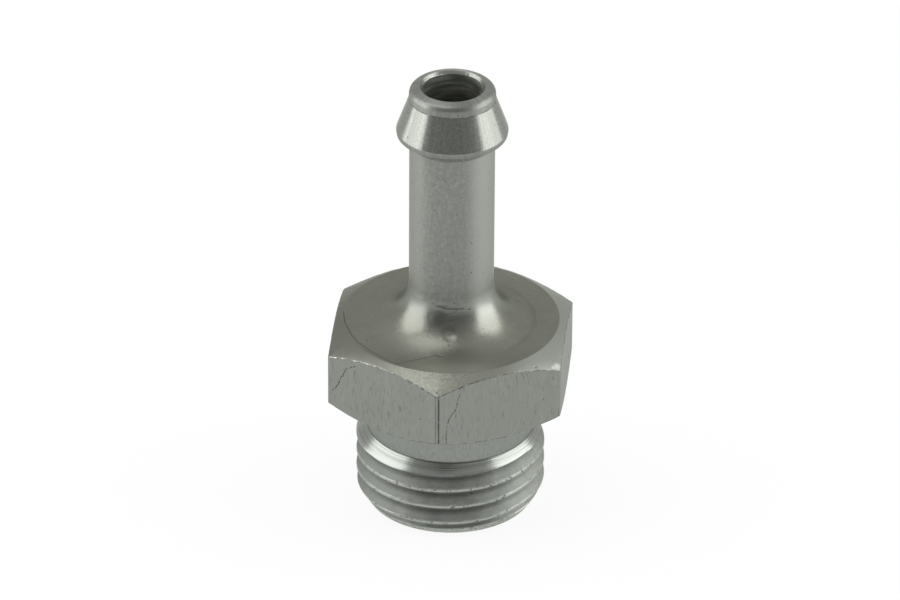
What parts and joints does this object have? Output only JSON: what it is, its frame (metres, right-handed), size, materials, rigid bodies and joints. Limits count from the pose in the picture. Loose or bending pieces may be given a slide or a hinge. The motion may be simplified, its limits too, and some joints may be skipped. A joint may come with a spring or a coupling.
{
  "type": "hose barb tail",
  "caption": "Straight turned aluminium adaptor: male thread with an O-ring groove, hexagon with a dished face, and a plain stem ending in one smooth hose barb.",
  "frame": {"origin": "centre of the thread's end face, which is the lowest point", "axes": "+Z along the turned axis towards the barb; a corner of the hexagon lies 5.7 degrees from -Y, towards -X"},
  "size_m": [0.0184, 0.02, 0.035],
  "materials": {
    "aluminium": "as turned, satin, with polished barb and drawn hexagon flats"
  },
  "bodies": {
    "root": {"hose_barb_tail": "aluminium"}
  },
  "joints": []
}
